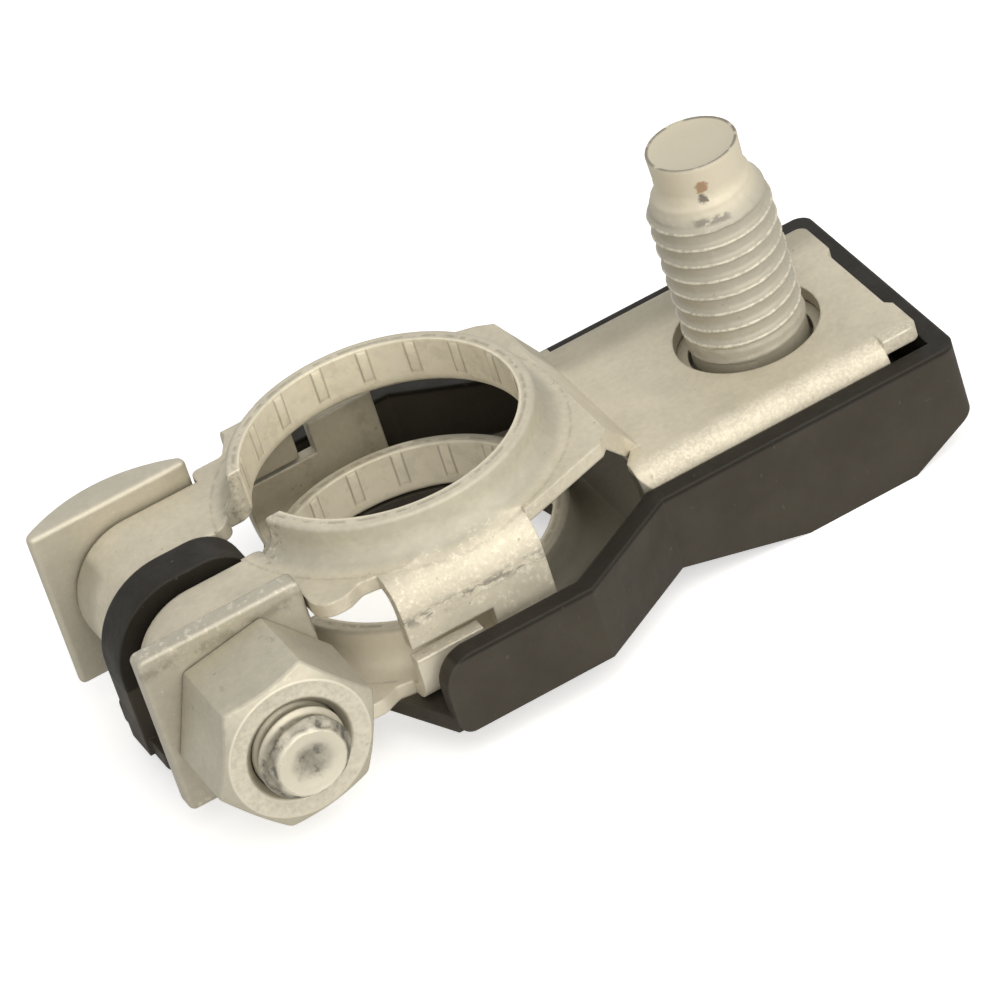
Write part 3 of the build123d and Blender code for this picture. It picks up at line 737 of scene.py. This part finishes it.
def nut_reach(turn):
    """Distance from the axis to the hexagon's side, with its corners taken off."""
    off_corner = (turn - nut_turned) % (math.pi / 3) - math.pi / 6
    return min(nut_half_af / math.cos(off_corner), nut_corner_r)


def chamfer_y(r):
    """Height of the turned cone at a distance from the axis."""
    return nut_front_y + max(0.0, r - nut_face_r) * nut_slope


def flat_y(turn, share):
    """Height on a flat, from its back edge at 0 to the turned cone at 1."""
    start = nut_back_y - nut_edge
    return start + share * (chamfer_y(nut_reach(turn)) + nut_edge - start)


nut = bmesh.new()
reaches = [
    lambda turn: (nut_bore_r, nut_back_y),
    lambda turn: (nut_reach(turn) - nut_edge, nut_back_y),
]
for share in (0.0, 0.3, 0.6, 0.85, 1.0):
    reaches.append(lambda turn, share=share: (nut_reach(turn), flat_y(turn, share)))
reaches.append(lambda turn: (nut_reach(turn) - nut_edge, chamfer_y(nut_reach(turn) - nut_edge)))
reaches.append(lambda turn: (nut_face_r + nut_edge, chamfer_y(nut_face_r + nut_edge)))
for r, depth in nut_face_rings:
    reaches.append(lambda turn, r=r, depth=depth: (r, nut_front_y + depth))
skin_rows(nut, [bolt_ring(nut, nut_columns, reach_y) for reach_y in reaches], closed=True)


def nut_marks(tree):
    """Spanner rub and a dark graze on the flats, and a bright turned face."""
    at, _, y, _ = own_place(tree)
    specks = fade(tree, cloud(tree, at, 2600.0, 4.0, 0.65), 0.25, 0.7, 0.35, 1.0)
    off_axis = vector(tree, "DISTANCE", at, (bolt_x, nut_front_y, bolt_z)).outputs["Value"]
    face = times(tree, band(tree, off_axis, nut_mouth_r, nut_face_r, 0.0001), specks)
    outer_line = band(tree, off_axis, nut_face_r - 0.0001, nut_face_r + 0.00006, 0.00006)
    turned = times(tree, calc(tree, "MAXIMUM", face, outer_line),
                   fade(tree, y, nut_front_y + 0.0005, nut_front_y + 0.0002))
    scored = vector(tree, "MULTIPLY", at, (1.0, 0.3, 1.0)).outputs[0]
    graze = fade(tree, cloud(tree, scored, 700.0, 5.0, 0.7), 0.64, 0.72)
    return (turned, 0.6, sheet_bright), (graze, 0.35, graze_grey)


plated_nut = plated_finish(
    "plated_nut", nut_colour,
    rough=0.47, metal=0.45, clouding=0.15, edge_r=0.00018, marks=nut_marks,
)
clamp_nut = new_piece("hexagon_nut", nut, plated_nut, sharp_deg=18.0)
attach(clamp_nut, "nut")
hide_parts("clamp_nut")

# ------------------------------------------------------------------ terminal stud
# Plated steel M8 stud, put up through both layers of the deck: a hexagon head below, a
# rolled thread with worn crests, and a plain dog point, cropped and slightly dished.
stud_colour = (0.45, 0.42, 0.34)
stud_plain = (0.72, 0.65, 0.50)
stud_rim_dark = (0.10, 0.09, 0.075)
stud_rust = (0.33, 0.19, 0.09)
stud_nick = (0.10, 0.085, 0.065)
stud_graze = (0.14, 0.13, 0.11)
stud_x = 0.02494
stud_low_z = -0.0022
stud_head_low_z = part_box("terminal_stud")[0][2]
stud_top_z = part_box("terminal_stud")[1][2]
stud_head_r = 0.0060 / math.cos(math.pi / 6)
stud_head_edge = 0.0003
stud_crest_r = 0.00395
stud_root_r = 0.00368
stud_foot_r = stud_crest_r - 0.0001
stud_pitch = 0.00125
stud_ridge_width = 0.30
stud_tip_r = 0.00298
stud_tip_taper = 0.00006
stud_tip_z = stud_top_z - 0.0019
stud_flare_z = stud_tip_z - 0.0026
stud_edge_z = stud_top_z - 0.00010
flare_curve = 0.8
thread_foot_z = 0.0009
thread_run_in = 0.0008
runout_reach = 0.00006
runout_sink = 0.00002
runout_ridge = 0.00007
stud_wear = 0.00003
wear_cells_round = 9
wear_cells_per_m = 1800
foot_levels = (stud_low_z, -0.0008, -0.0001, 0.0001)
first_level_z = 0.0002
stud_rows_per_turn = 16
point_rows = 8
stud_columns = 128
# Rings of the dished end: share of the point's radius, and depth below the top
stud_end_rows = (
    (0.985, 0.0), (0.95, 0.00002), (0.90, 0.00008), (0.6, 0.00012), (0.3, 0.00015), (0.06, 0.00016),
)
# Marks: a rust spot and a nick on the point, and a graze under them
rust_at = (stud_x - 0.00112, -0.00277, 0.0129)
rust_reach = 0.00048
nick_at = (stud_x - 0.00124, -0.00290, 0.01208)
nick_reach = 0.00042
graze_x = (stud_x - 0.0023, stud_x - 0.0001)
graze_y = (-0.0024, -0.0028)
graze_z = (0.01050, 0.01095)
spot_cells = 2600.0
spot_ragged = 1.4
spot_soft = (1.75, 1.35)


def stud_radius(turn, z):
    """Smooth foot, thread, and the flare in to the dog point."""
    if z > stud_tip_z:
        share = (z - stud_tip_z) / (stud_top_z - stud_tip_z)
        return stud_tip_r - stud_tip_taper + stud_tip_taper * share
    if z < 0:
        return stud_foot_r
    envelope = stud_crest_r
    if z > stud_flare_z:
        share = min(1.0, (z - stud_flare_z) / (stud_tip_z - stud_flare_z))
        ease = (share * share * (3 - 2 * share)) ** flare_curve
        envelope += (stud_tip_r - stud_tip_taper - stud_crest_r) * ease
    depth = (stud_crest_r - stud_root_r) * min(1.0, max(0.0, (z - thread_foot_z) / thread_run_in))
    crest = screw_crest(turn, z, stud_pitch, stud_ridge_width)
    where_round = (wear_cells_round * math.cos(turn), wear_cells_round * math.sin(turn))
    wear = stud_wear * noise.noise(Vector((*where_round, wear_cells_per_m * z)))
    cut = stud_crest_r - depth * (1.0 - crest)
    if envelope < cut + runout_reach:
        cut = min(cut, envelope - runout_sink) + runout_ridge * crest
    return cut + wear


def stud_ring(z, reach):
    """One ring of the stud, with its radius as a function of the turn."""
    row = []
    for i in range(stud_columns):
        turn = math.tau * i / stud_columns
        r = reach(turn)
        row.append(stud.verts.new((stud_x + r * math.cos(turn), r * math.sin(turn), z)))
    return row


stud = bmesh.new()
sixths = [k * math.pi / 3 for k in range(6)]
hexagon = [(stud_x + stud_head_r * math.cos(turn), stud_head_r * math.sin(turn)) for turn in sixths]
loft(stud, [[stud.verts.new((x, y, z)) for x, y in hexagon] for z in (stud_head_low_z, stud_low_z)])
bmesh.ops.bevel(
    stud, geom=list(stud.edges), offset=stud_head_edge, segments=2, profile=0.5, affect="EDGES",
)
step = stud_pitch / stud_rows_per_turn
levels = list(foot_levels)
levels += [first_level_z + step * i for i in range(int((stud_tip_z - first_level_z) / step))]
levels += [stud_tip_z + (stud_edge_z - stud_tip_z) * i / point_rows for i in range(1, point_rows + 1)]
rows = [stud_ring(z, lambda turn, z=z: stud_radius(turn, z)) for z in levels]
for share, depth in stud_end_rows:
    rows.append(stud_ring(stud_top_z - depth, lambda turn, share=share: stud_tip_r * share))
loft(stud, rows)


def spot(tree, at, centre, reach):
    """Ragged round spot."""
    off = vector(tree, "DISTANCE", at, centre).outputs["Value"]
    ragged = calc(tree, "MULTIPLY_ADD", cloud(tree, at, spot_cells, 3.0, 0.6), reach * spot_ragged, off)
    return fade(tree, ragged, *(reach * share for share in spot_soft))


def stud_marks(tree):
    """A rust spot, a nick and a graze on the point, worn crests, and a dark line round the end."""
    at, x, y, z = own_place(tree)
    across = place(tree, "ShaderNodeCombineXYZ", {0: calc(tree, "SUBTRACT", x, stud_x), 1: y}).outputs[0]
    r = vector(tree, "LENGTH", across).outputs["Value"]
    rim = times(tree, band(tree, r, stud_tip_r - 0.00022, stud_tip_r - 0.00003, 0.00006),
                fade(tree, z, stud_top_z - 0.00014, stud_top_z - 0.00006),
                fade(tree, cloud(tree, at, 1200.0, 3.0), 0.34, 0.5))
    along = vector(tree, "MULTIPLY", at, (0.45, 1.0, 1.0)).outputs[0]
    graze = times(tree, band(tree, z, *graze_z, 0.00012), fade(tree, y, *graze_y),
                  band(tree, x, *graze_x, 0.0003),
                  fade(tree, cloud(tree, along, 2200.0, 4.0, 0.65), 0.46, 0.54))
    crests = times(tree, fade(tree, r, stud_crest_r - 0.00008, stud_crest_r - 0.00001),
                   fade(tree, cloud(tree, at, 2600.0, 4.0, 0.65), 0.36, 0.6),
                   fade(tree, z, thread_foot_z, thread_foot_z + 0.0005))
    return (
        (fade(tree, z, stud_flare_z + 0.0004, stud_flare_z + 0.0018), 0.75, stud_plain),
        (crests, 0.6, sheet_bright),
        (rim, 0.7, stud_rim_dark),
        (spot(tree, at, rust_at, rust_reach), 0.85, stud_rust),
        (spot(tree, at, nick_at, nick_reach), 0.85, stud_nick),
        (graze, 0.65, stud_graze),
    )


plated_stud = plated_finish(
    "plated_stud", stud_colour,
    rough=0.55, metal=0.25, clouding=0.07, edge_r=0.00010, marks=stud_marks,
)
terminal_stud = new_piece("m8_stud", stud, plated_stud)
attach(terminal_stud, "clamp")
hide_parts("terminal_stud")

# ------------------------------------------------------------------ insulating tray
# Injection moulded in black plastic, a warm grey black with a fine spark-eroded grain.
# It is clipped up round the sheet. Its rim looks darker, and handling has dusted it.
plastic_colour = (0.044, 0.037, 0.028)
plastic_pale = (0.057, 0.049, 0.037)
plastic_rim = (0.012, 0.010, 0.007)
plastic_dust = (0.20, 0.185, 0.15)
plastic_edge_r = 0.00025
plastic_gloss = 0.22
rim_mix = 0.85
rim_relief = 2.2
rim_z = (-0.00185, -0.001625)
dust_mix = 0.35
worn_edge_mix = 0.22
grain_strength = 0.3
grain_depth = 0.00006

black_plastic = bpy.data.materials.new("black_plastic")
black_plastic.use_nodes = True
tree = black_plastic.node_tree
shader = tree.nodes["Principled BSDF"]
at, _, _, z = own_place(tree)
edge = use_group(tree, edges, Radius=plastic_edge_r)
in_rim = fade(tree, z, *rim_z)
cloudy = fade(tree, cloud(tree, at, 220.0, 4.0, 0.6), 0.3, 0.7)
dust = fade(tree, cloud(tree, at, 1500.0, 5.0, 0.65), 0.66, 0.74)
tint = blend_colour(tree, cloudy, opaque(plastic_colour), plastic_pale)
tint = blend_colour(tree, times(tree, in_rim, rim_mix), tint, plastic_rim)
tint = blend_colour(tree, times(tree, dust, dust_mix), tint, plastic_dust)
tint = blend_colour(tree, times(tree, edge.outputs["Edge"], worn_edge_mix), tint, plastic_dust)
tree.links.new(tint, shader.inputs["Base Color"])
sheen = fade(tree, cloud(tree, at, 600.0, 4.0, 0.6), 0.3, 0.7, 0.5, 0.64)
tree.links.new(sheen, shader.inputs["Roughness"])
shader.inputs["Specular IOR Level"].default_value = plastic_gloss
relief = calc(tree, "MULTIPLY_ADD", in_rim, rim_relief, cloud(tree, at, 5200.0, 2.0, 0.5))
add_bump(tree, shader, relief, edge.outputs["Normal"], grain_strength, grain_depth)
dress("insulating_tray", black_plastic)

# ------------------------------------------------------------------ floor
# White paper under the part, at the height of the tray's deepest face. It is as bright
# as the wall behind it and keeps the part's soft shadow.
floor_z = cad_box[0][2]
floor_half = 1.2
paper_colour = (0.93, 0.93, 0.93)
paper_pale = (0.945, 0.945, 0.945)
paper_rough = 0.9
paper_gloss = 0.1
paper_lift = 0.52

floor_shape = bmesh.new()
signs = ((-1, -1), (1, -1), (1, 1), (-1, 1))
floor_shape.faces.new([floor_shape.verts.new((i * floor_half, j * floor_half, floor_z)) for i, j in signs])
paper = bpy.data.materials.new("white_paper")
paper.use_nodes = True
tree = paper.node_tree
shader = tree.nodes["Principled BSDF"]
at = place(tree, "ShaderNodeTexCoord").outputs["Object"]
fibre = fade(tree, cloud(tree, at, 900.0, 4.0), 0.3, 0.7)
tree.links.new(blend_colour(tree, fibre, opaque(paper_colour), paper_pale), shader.inputs["Base Color"])
shader.inputs["Roughness"].default_value = paper_rough
shader.inputs["Specular IOR Level"].default_value = paper_gloss
shader.inputs["Emission Color"].default_value = (1.0, 1.0, 1.0, 1.0)
in_view = place(tree, "ShaderNodeLightPath").outputs["Is Camera Ray"]
tree.links.new(times(tree, in_view, paper_lift), shader.inputs["Emission Strength"])
studio_floor = new_piece("studio_floor", floor_shape, paper)
